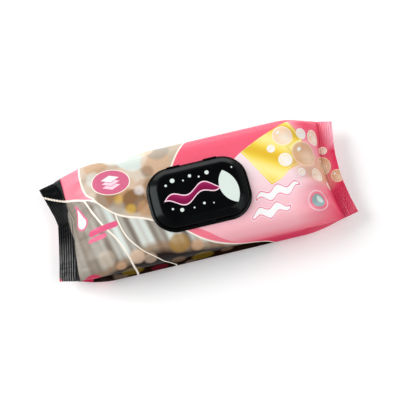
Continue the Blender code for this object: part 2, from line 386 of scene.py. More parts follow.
# Colours of the print
BLACK = linear(9, 11, 13)
ROSE = linear(244, 132, 150)
STRONG = linear(242, 98, 122)
PALE = linear(247, 226, 230)
MIDDLE = linear(249, 192, 199)
DEEP = linear(242, 122, 142)
EDGE = linear(200, 44, 82)
RED = linear(226, 40, 84)
YELLOW = linear(243, 214, 84)
GOLD = linear(230, 188, 56)
TAN = linear(222, 176, 138)
PEACH = linear(244, 212, 186)
CREAM = linear(248, 238, 224)
MAUVE = linear(214, 108, 140)
MINT = linear(216, 228, 222)
SAGE = linear(150, 176, 178)
BROWN = linear(26, 13, 8)
GREY = linear(160, 155, 145)
SAND = linear(196, 178, 158)
WHITE = linear(244, 244, 244)
PLUM = linear(140, 28, 78)
BLUSH = linear(250, 214, 228)
AMBER = linear(190, 146, 104)
UMBER = linear(112, 78, 48)
PEARL = linear(224, 231, 224)
LEMON = linear(252, 236, 150)

# Pink ground across the unrolled film: share of the way from its near edge, colour. Its darkening towards the
# near edge is partly print and partly painted shade of the near side
GROUND = (
    (0.00, linear(214, 66, 98)), (0.05, linear(222, 76, 106)), (0.09, DEEP), (0.15, linear(246, 174, 184)),
    (0.36, linear(246, 202, 210)), (0.56, PALE), (0.80, PALE), (1.00, MIDDLE),
)

# Soap bubbles: x, y, radius, colour, rim
BUBBLES = (
    (108, 27, 6.6, PEACH, CREAM), (93, 12, 10.8, TAN, PEACH), (78, 30, 8, PEACH, CREAM),
    (116, 4, 7.6, TAN, PEACH), (75, 9, 5.4, CREAM, WHITE), (95, 31, 4.4, CREAM, WHITE),
    (101, -7, 5.6, PEACH, CREAM), (127, -7, 5, TAN, PEACH), (121, 17, 3.2, PEACH, CREAM),
    (85.5, -4, 2.8, PEACH, WHITE), (114, -15, 3.2, CREAM, WHITE), (66, 21, 3, CREAM, WHITE),
)

# Soft discs of the upper left: x, y, radius, colour, strength
LIGHTS = (
    (-76, 42, 10, AMBER, 0.6), (-46, 42, 13, MINT, 0.9), (-28, 32, 12, TAN, 0.5), (-60, 14, 14, AMBER, 0.9),
    (-24, 44, 10, GREY, 0.7), (-73, 12, 9, UMBER, 0.5), (-48, 22, 9, CREAM, 0.35), (-58, 52, 14, PEARL, 0.8),
    (-40, 12, 9, AMBER, 0.5), (-52, 4, 10, UMBER, 0.75), (-66, 2, 6, GREY, 0.6), (-34, 48, 7, PEACH, 0.8),
    (-44, -4, 7, AMBER, 0.7), (-36, 26, 5, UMBER, 0.45), (-80, 30, 6, PEARL, 0.5), (-58, 28, 6, PEACH, 0.6),
    (-62, 60, 16, PEARL, 0.9), (-40, 60, 14, PEARL, 0.8), (-46, 12, 4, WHITE, 0.5), (-56, -2, 4, GOLD, 0.5),
    (-64, 8, 3.5, GOLD, 0.4), (-38, 2, 5, UMBER, 0.6), (-36, 14, 6, UMBER, 0.35), (-70, 26, 5, GOLD, 0.25),
)

# Soft discs near and on the near wall, on the left: x, y, radius, colour, strength
WARM_DISCS = (
    (-25, -39, 8, linear(166, 124, 52), 0.75), (-84, -38, 7, SAND, 0.5), (-60, -42, 6, PEACH, 0.6),
    (-50, -46, 5, PEACH, 0.4), (-74, -47, 4, TAN, 0.6), (-11, -44, 5, TAN, 0.6), (-92, -64, 7, TAN, 0.16),
    (-66, -60, 9, GOLD, 0.14), (-44, -66, 7, RED, 0.10), (-28, -58, 6, TAN, 0.16), (-8, -62, 9, GOLD, 0.12),
    (-76, -70, 6, PEACH, 0.12), (12, -60, 5, TAN, 0.14), (-18, -71, 5, PEACH, 0.10),
)

# Dots on the lid: x, y, radius
LID_DOTS = (
    (-25, 7.5, 1.0), (-19, 10.4, 1.9), (-10.5, 8.6, 0.7), (-4.5, 11.2, 1.3), (2.5, 8.8, 0.8),
    (9.5, 10.8, 1.7), (-24, -13, 0.9), (-17, -15.4, 1.6), (-7, -15.8, 0.7), (1.5, -14, 1.1),
    (9, -15.6, 0.6), (30, 10.5, 0.7),
)


def film_print(art):
    """The pack's print: fields of colour, soft discs, stripes and simple shapes."""
    u, v = art.x, art.y
    # Pink ground, darker towards the near edge: partly print, partly painted shade
    colour = art.ramp(art.scaled(v, 1.0 / GROUND_SPAN, 0.5), GROUND)
    colour = paint_right_end(art, colour)
    colour = paint_cloth(art, colour)
    colour = paint_strokes(art, colour)

    # One long curve parts the pack from the left tip to the near edge
    parting = art.path([(-138, 36), (-115, 25), (-88.6, 15), (-66, -5), (-46, -13), (-22, -27), (-4, -41),
                        (20, -53), (44, -64), (66, -86), (136, -92)], u)
    under = art.minus(v, parting)
    over = art.times(under, -1.0)
    depth = art.path([(-34, -1), (-22, 6), (-8, 8), (8, 5), (28, -1)], u)
    colour = art.paint(colour, DEEP, art.minus(under, depth), soft=0.3)

    # Soft discs behind the upper left, as lights out of focus
    rose_edge = art.path([(-70, -84), (0, -80), (14, -84), (30, -91), (46, -90), (70, -80)], v)
    right_of_rose = art.minus(rose_edge, u)
    strong_edge = art.path([(0, -36), (20, -20), (32, -12), (44, -3), (56, 4), (70, 4)], v)
    right_of_strong = art.minus(strong_edge, u)
    left_of_strong = art.times(right_of_strong, -1.0)
    colour = paint_lights(art, colour, art.all_of(left_of_strong, over, right_of_rose))

    # The strong pink field over the lid
    field_end = art.path([(0, 20), (18, 33), (30, 54), (40, 78), (50, 95), (70, 108)], v)
    field = art.all_of(right_of_strong, art.minus(u, field_end), art.minus(8.0, v))
    colour = art.paint(colour, STRONG, field)
    colour = art.paint(colour, CREAM, art.all_of(art.band(right_of_strong, LINE_HALF), over))
    colour = paint_lower_left(art, colour, under)

    # The rose corner
    colour = art.paint(colour, ROSE, art.all_of(art.times(right_of_rose, -1.0), over))
    colour = art.paint(colour, CREAM, art.all_of(art.band(right_of_rose, LINE_HALF), over))
    colour = paint_badge(art, colour)

    # Black left end, crossed by the same cream curve
    black_edge = art.path([(-70, -115), (-40, -114), (-12, -116), (6, -117.5), (26, -112), (45, -110),
                           (70, -110)], v)
    black_end = art.minus(u, black_edge)
    border = art.all_of(art.minus(black_end, 1.0), over)
    colour = art.paint(colour, EDGE, border, soft=0.8, strength=0.7)
    colour = art.paint(colour, BLACK, black_end, soft=0.3)
    colour = art.paint(colour, EDGE, art.disc(-138.0, -42.0, 5.0), soft=0.3)
    colour = art.paint(colour, CREAM, art.band(under, LINE_HALF))
    return paint_back(art, colour)


def paint_right_end(art, colour):
    """Pink that deepens to red at the right seal, with a painted highlight on the seal's far part."""
    bend = art.path([(-70, -8), (-42, -10), (-22, -7), (-6, 3), (20, 0), (45, -12), (70, -18)], art.y)
    reach = art.minus(bend, art.x)
    colour = art.paint(colour, STRONG, art.plus(reach, 97.0), soft=17.0, strength=0.9)
    colour = art.paint(colour, RED, art.plus(reach, 120.0), soft=7.0)
    colour = art.paint(colour, EDGE, art.plus(reach, 129.5), soft=4.0, strength=0.6)
    far_corner = art.all_of(art.minus(27.0, art.y), art.minus(91.0, art.x))
    colour = art.paint(colour, linear(250, 84, 116), far_corner, soft=10.0)
    # Painted highlight: light pink on the far part of the right seal, where its crimps would catch the light
    far_seal_highlight = art.all_of(art.minus(20.0, art.y), art.minus(127.5, art.x))
    return art.paint(colour, linear(255, 184, 202), far_seal_highlight, soft=5.0, strength=0.8)


def paint_cloth(art, colour):
    """A yellow cloth with a turned-back corner, and soap bubbles round it."""
    x, y = CLOTH_PLACE
    turn = math.radians(28.0)
    dx, dy = art.minus(art.x, x), art.minus(art.y, y)
    along = art.scaled(dx, math.cos(turn), art.times(dy, math.sin(turn)))
    across = art.scaled(dy, math.cos(turn), art.times(dx, -math.sin(turn)))
    ripple = art.times(art.sine(art.times(along, 0.33)), 0.6)
    square = art.all_of(art.minus(art.abs(along), 24.0), art.minus(art.abs(art.plus(across, ripple)), 20.0))
    cut = art.minus(art.minus(along, across), 28.0)
    tone = art.sine(art.scaled(along, 0.21, art.times(across, 0.12)))
    yellow = art.ramp(art.scaled(tone, 0.5, 0.5), [(0.0, GOLD), (0.4, YELLOW), (1.0, linear(253, 236, 150))])
    colour = art.paint(colour, yellow, art.all_of(square, cut), soft=0.3)
    hem = art.all_of(art.band(art.plus(square, 1.6), 0.25), cut)
    colour = art.paint(colour, linear(252, 240, 180), hem, soft=0.2)
    flap = art.all_of(art.minus(8.0, along), art.plus(across, 4.0), cut)
    colour = art.paint(colour, GOLD, art.minus(flap, 0.7), soft=1.2, strength=0.8)
    colour = art.paint(colour, LEMON, flap, soft=0.3)

    warmth = art.disc(100.0, -1.0, 21.0, squeeze=0.55, turn=-24.0)
    colour = art.paint(colour, TAN, warmth, soft=8.0, strength=0.75)
    for x, y, radius, tint, rim in BUBBLES:
        bubble = art.disc(x, y, radius)
        colour = art.paint(colour, tint, bubble, soft=0.3, strength=0.9)
        glow = art.disc(x + 0.25 * radius, y - 0.30 * radius, 0.55 * radius)
        colour = art.paint(colour, rim, art.all_of(glow, bubble), soft=0.3 * radius, strength=0.7)
        colour = art.paint(colour, rim, art.band(bubble, 0.35), soft=0.2)
        spark = art.disc(x - 0.38 * radius, y + 0.42 * radius, 0.20 * radius, squeeze=0.6, turn=45.0)
        colour = art.paint(colour, WHITE, spark, soft=0.25)
    return colour


def paint_strokes(art, colour):
    """Two wavy white strokes with a pink edge, and a round spot beside them."""
    u, v = art.x, art.y
    for first, last, level, phase, rise in ((44.0, 80.0, -16.0, 0.4, 0.10), (37.0, 68.0, -30.5, 2.1, 0.06)):
        middle, reach = (first + last) / 2, (last - first) / 2
        wave = art.sine(art.scaled(u, 0.42, phase))
        course = art.scaled(wave, 2.1, art.scaled(u, rise, level - rise * middle))
        off = art.abs(art.minus(v, course))
        share = art.times(art.minus(u, middle), 1.0 / reach)
        half = art.scaled(art.times(share, share), -2.8, 3.6)
        end = art.minus(art.abs(art.minus(u, middle)), reach)
        stroke = art.all_of(art.minus(off, half), end)
        colour = art.paint(colour, WHITE, art.minus(stroke, 1.5), soft=0.2)
        colour = art.paint(colour, linear(236, 120, 150), art.minus(stroke, 1.0), soft=0.2)
        colour = art.paint(colour, WHITE, stroke, soft=0.2)

    x, y = SPOT_PLACE
    colour = art.paint(colour, BLUSH, art.band(art.disc(x, y, 9.0), 0.35), soft=0.2)
    colour = art.paint(colour, DEEP, art.disc(x, y, 7.4), soft=0.2)
    colour = art.paint(colour, SAGE, art.disc(x, y, 6.0), soft=0.2)
    glint = art.all_of(art.disc(x, y, 4.4), art.disc(x + 3.0, y + 2.0, 4.0))
    return art.paint(colour, MINT, glint, soft=0.3)


def paint_lights(art, colour, area):
    colour = art.paint(colour, SAND, area)
    for x, y, radius, tint, strength in LIGHTS:
        light = art.all_of(art.disc(x, y, radius), area)
        colour = art.paint(colour, tint, light, soft=1.3, strength=strength)
    return colour


def paint_lower_left(art, colour, under):
    """Pale upright folds that darken towards the near edge, with warm lights there."""
    u, v = art.x, art.y
    lean = art.scaled(v, 0.22, u)
    broad = art.sine(art.times(lean, 0.31))
    narrow = art.sine(art.scaled(lean, 0.83, 1.2))
    tone = art.scaled(broad, 0.22, art.scaled(narrow, 0.14, 0.55), limit=True)
    folds = art.ramp(tone, [(0.22, linear(122, 114, 104)), (0.45, linear(164, 158, 148)),
                            (0.66, linear(202, 204, 196)), (0.92, MINT)])
    shade = art.path([(-110, -50), (-94, -48), (-76, -42), (-60, -38), (-44, -34), (-28, -38), (-10, -41),
                      (30, -50)], u)
    dark = art.minus(v, shade)
    folds = art.paint(folds, linear(134, 121, 109), art.plus(u, 82.0), soft=9.0, strength=0.8)
    folds = art.paint(folds, linear(150, 118, 88), dark, soft=2.5, strength=0.8)
    folds = art.paint(folds, BROWN, art.plus(dark, 7.0), soft=3.0)
    for x, y, radius, tint, strength in WARM_DISCS:
        folds = art.paint(folds, tint, art.disc(x, y, radius), soft=1.2, strength=strength)
    folds = art.paint(folds, EDGE, art.disc(-102.0, -58.0, 11.0), soft=0.5)
    colour = art.paint(colour, folds, under)
    crossing = art.path([(-70, -62), (-52, -64), (-30, -70), (-8, -82), (20, -94)], v)
    colour = art.paint(colour, CREAM, art.all_of(art.band(art.minus(u, crossing), LINE_HALF), under))
    second = art.path([(-70, -30), (-50, -42), (-34, -58), (-20, -66), (10, -70)], v)
    colour = art.paint(colour, CREAM, art.all_of(art.band(art.minus(u, second), 0.6), under))

    # A white drop beside two pink bars
    drop = art.any_of(art.disc(-100.0, -1.0, 4.8), art.polygon((-104.4, 0.6), (-95.6, 0.6), (-101.8, 12.0)))
    colour = art.paint(colour, MAUVE, art.minus(drop, 1.8), soft=0.25)
    colour = art.paint(colour, WHITE, drop, soft=0.25)
    for first, last, level, half in ((-95.0, -69.0, -12.5, 2.5), (-97.0, -80.0, -19.0, 2.0)):
        middle = (first + last) / 2
        off = art.abs(art.minus(u, middle))
        past = art.math("MAXIMUM", art.minus(off, (last - first) / 2 - half), 0.0)
        slope = art.minus(v, art.scaled(u, 0.12, level - 0.12 * middle))
        far = art.math("SQRT", art.scaled(past, past, art.times(slope, slope)))
        colour = art.paint(colour, linear(226, 96, 134), art.minus(far, half), soft=0.25)
    return colour


def paint_badge(art, colour):
    """An oval badge with a stack of sheets drawn in it."""
    x, y = BADGE_PLACE
    oval = art.disc(x, y, 15.0, squeeze=0.68, turn=-6.0)
    colour = art.paint(colour, CREAM, art.minus(oval, 0.9))
    colour = art.paint(colour, MAUVE, oval)
    for rise, tint in ((-3.4, BLUSH), (-0.2, BLUSH), (3.0, WHITE)):
        level = y + rise
        for grow, shade in ((0.55, MAUVE), (0.0, tint)):
            wide, tall = 7.4 + 2.0 * grow, 3.0 + grow
            sheet = art.polygon((x - wide, level), (x, level - tall), (x + wide, level), (x, level + tall))
            colour = art.paint(colour, shade, sheet, soft=0.15)
    return colour


def paint_back(art, colour):
    """The plain back: rose with a paler panel on each side of the seam."""
    off = art.abs(art.y)
    colour = art.paint(colour, ROSE, art.minus(80.0, off), soft=0.3)
    panel = art.all_of(art.minus(art.abs(art.x), 84.0), art.minus(art.abs(art.minus(off, 99.0)), 12.0))
    return art.paint(colour, PALE, panel, soft=0.3)


def film_material():
    material, shader = new_material("printed_film_finish")
    coordinates = material.node_tree.nodes.new("ShaderNodeUVMap")
    coordinates.uv_map = "print"
    flat = coordinates.outputs[0]
    art = Nodes(material.node_tree, flat)
    off_x, off_y = art.abs(art.x), art.abs(art.y)
    art.put(shader.inputs["Base Color"], film_print(art))

    # Relief: crinkles all over, ridges on the seam, streaks on the seals and creases at the ends
    crinkle = art.noise(flat, 90.0, detail=4.0, roughness=0.55, stretch=(0.6, 1.0, 1.0))
    normal = art.relief(crinkle, 0.0006, 0.35)
    normal = art.relief(art.noise(flat, 620.0, detail=2.0), 0.00005, 0.25, under=normal)
    seam = art.mask(art.minus(SEAM_START, off_y), soft=0.2)
    ridges = art.times(art.sine(art.times(art.x, 4.2)), seam)
    normal = art.relief(ridges, 0.00015, 0.6, under=normal)
    seals = art.mask(art.minus(SEAL_START, off_x), soft=3.0)
    streaks = art.noise(flat, 300.0, detail=1.0, stretch=(1.0, 0.03, 1.0))
    normal = art.relief(art.times(streaks, seals), 0.0010, 0.6, under=normal)
    ends = art.mask(art.minus(CREASE_START, off_x), soft=16.0)
    creases = art.noise(flat, 130.0, detail=2.0, stretch=(0.4, 1.0, 1.0))
    normal = art.relief(art.times(art.abs(art.minus(creases, 0.5)), ends), 0.0022, 0.6, under=normal)
    art.put(shader.inputs["Normal"], normal)
    art.put(shader.inputs["Roughness"], art.scaled(seals, -0.09, art.spread(crinkle, 0.20, 0.32)))

    # Dull on the near wall, bright on the seals' near corners and on the far right one
    near_wall = art.all_of(art.minus(art.y, NEAR_WALL[1]), art.minus(NEAR_WALL[0], art.y))
    shine = art.scaled(art.mask(near_wall, soft=8.0), -0.30, 0.30)
    far_right = art.all_of(art.minus(16.0, art.y), art.times(art.x, -1.0))
    corners = art.mask(art.any_of(art.plus(art.y, 16.0), far_right), soft=10.0)
    change = art.times(art.minus(art.scaled(corners, 0.62, 0.12), shine), seals)
    art.put(shader.inputs["Specular IOR Level"], art.plus(shine, change))
    shader.inputs["IOR"].default_value = 1.40
    return material


def add_object(name, data):
    obj = bpy.data.objects.new(name, data)
    bpy.context.scene.collection.objects.link(obj)
    return obj


def add_piece(name, mesh, material, body):
    """A finished piece that rides on a body."""
    mesh.materials.clear()
    mesh.materials.append(material)
    obj = add_object(name, mesh)
    if body:
        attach(obj, body)
    return obj


# Film pack

def seal_dip(side, across):
    depth, peak, power = RIGHT_DIP if side > 0 else LEFT_DIP
    reach = 1.0 - peak if across > peak else 1.0 + peak
    return depth * (1.0 - clamp(abs(across - peak) / reach) ** power)


def seal_shift(side, inward, across):
    fade = 1.0 - smooth((inward - 0.4 * SEAL_LENGTH) / (0.6 * SEAL_LENGTH + 0.3 * END_RUN))
    wave = SEAL_WAVE * math.sin(3.6 * across + (0.9 if side > 0 else 2.6))
    curl = 1.6 * SEAL_WAVE * smooth((side * across - 0.55) / 0.45)
    return (wave + curl) * fade


def gather(side, inward, y):
    start = (inward - SEAL_LENGTH) / END_RUN
    spread = 1.0 + 0.25 * clamp(start)
    phase = 1.3 if side > 0 else 4.1
    folds = 0.6 * math.sin(2.0 * math.pi * y / (FOLD_PITCH * spread) + phase)
    folds += 0.4 * math.sin(3.4 * math.pi * y / (FOLD_PITCH * spread) + 2.0 * phase)
    return FOLD_HEIGHT * folds * bump(start * 0.9 + 0.08)


def pleat(side, inward, y):
    """Sharp small folds that start at a seal and die out within the end."""
    start = (inward - SEAL_LENGTH) / END_RUN
    fade = smooth(start / 0.10) * (1.0 - smooth((start - 0.10) / 0.85))
    pitch = PLEAT_PITCH + 0.0016 * math.sin(310.0 * y + side)
    turn = (y / pitch + 0.35 * side) % 1.0
    ridge = 1.0 - abs(2.0 * turn - 1.0)
    return PLEAT_HEIGHT * fade * (ridge - 0.5) * (0.6 + 0.4 * math.sin(140.0 * y + 1.7 * side))


def corner(half, radius, edge, drop, steps):
    points = []
    for i in range(steps + 1):
        angle = 0.5 * math.pi * i / steps
        points.append((half - radius + radius * math.cos(angle), edge - drop + drop * math.sin(angle)))
    return points


def section(inward):
    """The cross-section from the middle of the underside round by the far side."""
    start = inward - SEAL_LENGTH
    rise = swell(start / END_RUN)
    half_film = SEAL_THICKNESS / 2
    level = SEAL_LEVEL + (0.45 * BODY_HEIGHT - SEAL_LEVEL) * rise
    top = SEAL_LEVEL + half_film + (BODY_HEIGHT - SEAL_LEVEL - half_film) * rise
    bottom = (SEAL_LEVEL - half_film) * (1.0 - swell(start / FOOT_RUN))
    widening = math.sin(0.5 * math.pi * clamp(inward / SIDE_RUN))
    half = SEAL_WIDTH / 2 + (BODY_WIDTH - SEAL_WIDTH) / 2 * widening
    tuck = TUCK_DEPTH * bump(start / TUCK_RUN)
    shoulder = min(SHOULDER_RADIUS, 0.85 * (top - level))
    foot = min(FOOT_RADIUS, 0.85 * (level - bottom))

    edge = half - FOOT_RADIUS
    crease = SEAM_WIDTH / 2
    far = [(0.0, bottom), (0.5 * (crease - CREASE_WIDTH), bottom)]
    far += [(crease - CREASE_WIDTH / 2, bottom), (crease, bottom + CREASE_DEPTH)]
    far.append((crease + CREASE_WIDTH / 2, bottom))
    inner = crease + CREASE_WIDTH
    far += [(inner + (edge - inner) * i / BOTTOM_STEPS, bottom) for i in range(BOTTOM_STEPS)]
    far += corner(half, FOOT_RADIUS, bottom, -foot, FOOT_STEPS)[::-1]
    far.append((half - tuck, level))
    far += corner(half, SHOULDER_RADIUS, top, shoulder, SHOULDER_STEPS)
    reach = half - SHOULDER_RADIUS
    far += [(reach * (1.0 - 2.0 * i / TOP_STEPS), top) for i in range(1, TOP_STEPS // 2 + 1)]
    return far + [(-y, z) for y, z in far[-2:0:-1]]


def film_stations():
    inward = [SEAL_LENGTH * i / SEAL_STATIONS for i in range(SEAL_STATIONS)]
    inward += [SEAL_LENGTH + END_RUN * (i / END_STATIONS) ** 1.4 for i in range(END_STATIONS + 1)]
    end = inward[-1]
    middle = MIDDLE_STATIONS // 2
    inward += [end + (PACK_LENGTH / 2 - end) * i / middle for i in range(1, middle + 1)]
    return [(-1, value) for value in inward] + [(1, value) for value in inward[-2::-1]]


def film_point(side, inward, y, z):
    across = clamp(y / (SEAL_WIDTH / 2), -1.0, 1.0)
    fade = 1.0 - smooth((inward - SEAL_LENGTH) / END_RUN)
    x = side * (PACK_LENGTH / 2 - inward - seal_dip(side, across) * fade)
    upper = z > SEAL_LEVEL
    z += seal_shift(side, inward, across)
    if upper:
        z += gather(side, inward, y) + pleat(side, inward, y)
    return (x, y, max(z, 0.0))


def film_mesh():
    """The film as one closed skin, with its print's coordinates and its distance inward."""
    rows, inwards = [], []
    for side, inward in film_stations():
        rows.append([film_point(side, inward, y, z) for y, z in section(inward)])
        inwards.append(inward)
    count = len(rows[0])
    middle = count // 2
    vertices = [point for row in rows for point in row]
    across = []
    for row in rows:
        travelled = [0.0]
        for a, b in zip(row, row[1:] + row[:1]):
            travelled.append(travelled[-1] + math.hypot(b[1] - a[1], b[2] - a[2]))
        across.append([travelled[middle] - distance for distance in travelled])

    # Down the ends the film is longer than its plan, so the print is measured along it
    longer = [0.0]
    for a, b in zip(rows, rows[1:]):
        run, drop = b[middle][0] - a[middle][0], b[middle][2] - a[middle][2]
        longer.append(longer[-1] + math.hypot(run, drop) - abs(run))
    centre = longer[len(rows) // 2]
    along = [[point[0] + extra - centre for point in row] for row, extra in zip(rows, longer)]

    faces, coordinates = [], []
    for r in range(len(rows) - 1):
        for c in range(count):
            following = (c + 1) % count
            here, above = r * count, (r + 1) * count
            faces.append((here + c, here + following, above + following, above + c))
            for row, column in ((r, c), (r, c + 1), (r + 1, c + 1), (r + 1, c)):
                coordinates.append((along[row][column % count], across[row][column]))
    last = (len(rows) - 1) * count
    faces.append(tuple(range(count - 1, -1, -1)))
    coordinates += [(along[0][c], across[0][c]) for c in range(count - 1, -1, -1)]
    faces.append(tuple(range(last, last + count)))
    coordinates += [(along[-1][c], across[-1][c]) for c in range(count)]
    mesh = bpy.data.meshes.new("film_pack_skin")
    mesh.from_pydata(vertices, [], faces)
    layer = mesh.uv_layers.new(name="print")
    layer.data.foreach_set("uv", [value for pair in coordinates for value in pair])
    inset = mesh.attributes.new("inward", "FLOAT", "POINT")
    inset.data.foreach_set("value", [value for value in inwards for _ in range(count)])
    mesh.shade_smooth()
    return mesh


def crimp_tree(material):
    """Geometry nodes that press ridges into the film near its sealed edges."""
    tree = bpy.data.node_groups.new("crimped_seals", "GeometryNodeTree")
    tree.interface.new_socket("Geometry", in_out="INPUT", socket_type="NodeSocketGeometry")
    for name in ("Ridges", "Ridge height", "Seal length"):
        tree.interface.new_socket(name, in_out="INPUT", socket_type="NodeSocketFloat")
    tree.interface.new_socket("Geometry", in_out="OUTPUT", socket_type="NodeSocketGeometry")
    art = Nodes(tree)
    group = art.node("NodeGroupInput")
    inward = art.node("GeometryNodeInputNamedAttribute", data_type="FLOAT")
    inward.inputs["Name"].default_value = "inward"
    share = art.math("DIVIDE", inward.outputs["Attribute"], group.outputs["Seal length"])
    turns = art.times(share, group.outputs["Ridges"])
    wave = art.math("COSINE", art.times(turns, 2.0 * math.pi))
    inside = art.math("LESS_THAN", turns, art.minus(group.outputs["Ridges"], 0.25))
    height = art.times(art.times(wave, inside), group.outputs["Ridge height"])
    offset = art.node("ShaderNodeCombineXYZ")
    art.put(offset.inputs["Z"], art.times(height, 0.5))
    move = art.node("GeometryNodeSetPosition")
    art.put(move.inputs["Geometry"], group.outputs["Geometry"])
    art.put(move.inputs["Offset"], offset.outputs[0])
    realize = art.node("GeometryNodeRealizeInstances")
    art.put(realize.inputs[0], move.outputs[0])
    finish = art.node("GeometryNodeSetMaterial")
    finish.inputs["Material"].default_value = material
    art.put(finish.inputs["Geometry"], realize.outputs[0])
    art.put(art.node("NodeGroupOutput").inputs[0], finish.outputs[0])
    return tree


def bake_modifiers(obj):
    """Give an object its mesh with the modifiers applied, and drop them."""
    depsgraph = bpy.context.evaluated_depsgraph_get()
    mesh = bpy.data.meshes.new_from_object(obj.evaluated_get(depsgraph), depsgraph=depsgraph)
    obj.modifiers.clear()
    obj.data = mesh


def build_film():
    material = film_material()
    obj = add_object("film_skin", film_mesh())
    obj.data.materials.append(material)
    tree = crimp_tree(material)
    modifier = obj.modifiers.new("crimps", "NODES")
    modifier.node_group = tree
    values = {"Ridges": float(RIDGE_COUNT), "Ridge height": RIDGE_HEIGHT, "Seal length": SEAL_LENGTH}
    for socket in tree.interface.items_tree:
        if socket.name in values:
            modifier[socket.identifier] = values[socket.name]
    bake_modifiers(obj)
    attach(obj, "pack")
    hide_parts("film_pack")


# Lid frame, flip lid and peel label

def frame_outline(inset):
    half_x = FRAME_LENGTH / 2 - inset
    half_y = FRAME_DEPTH / 2 - inset
    radius = FRAME_RADIUS - inset
    corner_x, corner_y = half_x - radius, half_y - radius
    points = []
    for quarter, (sign_x, sign_y) in enumerate(((1, 1), (-1, 1), (-1, -1), (1, -1))):
        for i in range(CORNER_STEPS + 1):
            angle = math.radians(90.0 * quarter + 90.0 * i / CORNER_STEPS)
            x = sign_x * corner_x + radius * math.cos(angle)
            points.append((x, sign_y * corner_y + radius * math.sin(angle)))
        for i in range(1, EDGE_STEPS):
            step = 1.0 - 2.0 * i / EDGE_STEPS
            on_short_side = quarter % 2 == 1
            x = sign_x * (half_x if on_short_side else step * corner_x)
            points.append((x, sign_y * (step * corner_y if on_short_side else half_y)))
    return [(x * (1.0 - FRAME_BOW / half_x * (y / half_y) ** 2), y) for x, y in points]


def frame_loop(inset, z, lip=0.0):
    """One level of a moulding; lip pushes the middle of its near side outwards."""
    loop = []
    for x, y in frame_outline(inset):
        if lip and y < -0.8 * (FRAME_DEPTH / 2 - inset):
            y -= lip * LIP_DEPTH * smooth((LIP_LENGTH / 2 - abs(x)) / LIP_RUN)
        loop.append((x, y + FRAME_SHIFT, z))
    return loop


def rounded(profile, radius, steps, closed=False):
    """A profile with its corners turned into short arcs."""
    count = len(profile)
    result = []
    for i, point in enumerate(profile):
        if not closed and i in (0, count - 1):
            result.append(point)
            continue
        here = Vector(point)
        before = Vector(profile[i - 1]) - here
        after = Vector(profile[(i + 1) % count]) - here
        reach = min(radius, 0.45 * before.length, 0.45 * after.length)
        start = here + before.normalized() * reach
        end = here + after.normalized() * reach
        for step in range(steps + 1):
            t = step / steps
            result.append(tuple((1 - t) ** 2 * start + 2 * t * (1 - t) * here + t ** 2 * end))
    return result


def loft(name, loops, ring=False):
    """A mesh through closed loops: a ring, or a solid with both its ends closed."""
    bm = bmesh.new()
    rows = [[bm.verts.new(point) for point in loop] for loop in loops]
    count = len(rows[0])
    pairs = list(zip(rows, rows[1:])) + ([(rows[-1], rows[0])] if ring else [])
    for row, following in pairs:
        for i in range(count):
            j = (i + 1) % count
            bm.faces.new((row[i], row[j], following[j], following[i]))
    if not ring:
        bm.faces.new(rows[0][::-1])
        bm.faces.new(rows[-1])
    bmesh.ops.recalc_face_normals(bm, faces=bm.faces)
    mesh = bpy.data.meshes.new(name)
    bm.to_mesh(mesh)
    bm.free()
    mesh.shade_smooth()
    mesh.set_sharp_from_angle(angle=math.radians(40.0))
    return mesh


def plastic_material(name, art_on_top=None):
    material, shader = new_material(name)
    spot = material.node_tree.nodes.new("ShaderNodeTexCoord").outputs["Object"]
    art = Nodes(material.node_tree, spot)
    cloud = art.noise(spot, 45.0, detail=3.0)
    grain = art.noise(spot, 2600.0, detail=2.0)
    base = art.ramp(cloud, [(0.3, linear(3, 3, 4)), (0.7, linear(8, 8, 10))])
    if art_on_top:
        base = art_on_top(art, base)
    art.put(shader.inputs["Base Color"], base)
    art.put(shader.inputs["Roughness"], art.spread(cloud, 0.14, 0.24))
    art.put(shader.inputs["Normal"], art.relief(grain, 0.00001, 0.1))
    shader.inputs["IOR"].default_value = 1.45
    shader.inputs["Specular IOR Level"].default_value = 0.14
    shader.inputs["Specular Tint"].default_value = (0.88, 1.0, 0.99, 1.0)
    return material


def lid_print(art, colour):
    """The lid's print, on its top face only: a leaf, a wavy ribbon and dots."""
    top = art.minus(LID_TOP * MM - 0.25, art.z)
    middle, reach = -6.5, 24.5
    wave = art.sine(art.scaled(art.x, 0.225, 0.9))
    course = art.scaled(wave, 3.0, art.scaled(art.x, 0.14, -3.2))
    share = art.scaled(art.x, 1.0 / reach, -middle / reach)
    taper = art.math("POWER", art.abs(share), 3.0)
    swing = art.sine(art.scaled(art.x, 0.225, -0.7))
    half = art.scaled(taper, -4.2, art.scaled(swing, 0.9, 3.3))
    off = art.minus(art.y, course)
    ribbon = art.minus(art.abs(off), half)

    leaf = art.all_of(art.disc(10.0, -8.0, 21.5), art.disc(34.0, -3.0, 17.5))
    colour = art.paint(colour, MINT, art.all_of(leaf, top))
    colour = art.paint(colour, BLUSH, art.all_of(art.minus(ribbon, 0.95), top))
    shade = art.ramp(art.scaled(off, 0.12, 0.5),
                     [(0.1, linear(118, 18, 62)), (0.6, PLUM), (1.0, linear(168, 48, 100))])
    colour = art.paint(colour, shade, art.all_of(ribbon, top))
    for x, y, radius in LID_DOTS:
        colour = art.paint(colour, MINT, art.all_of(art.disc(x, y, radius), top))
    return colour


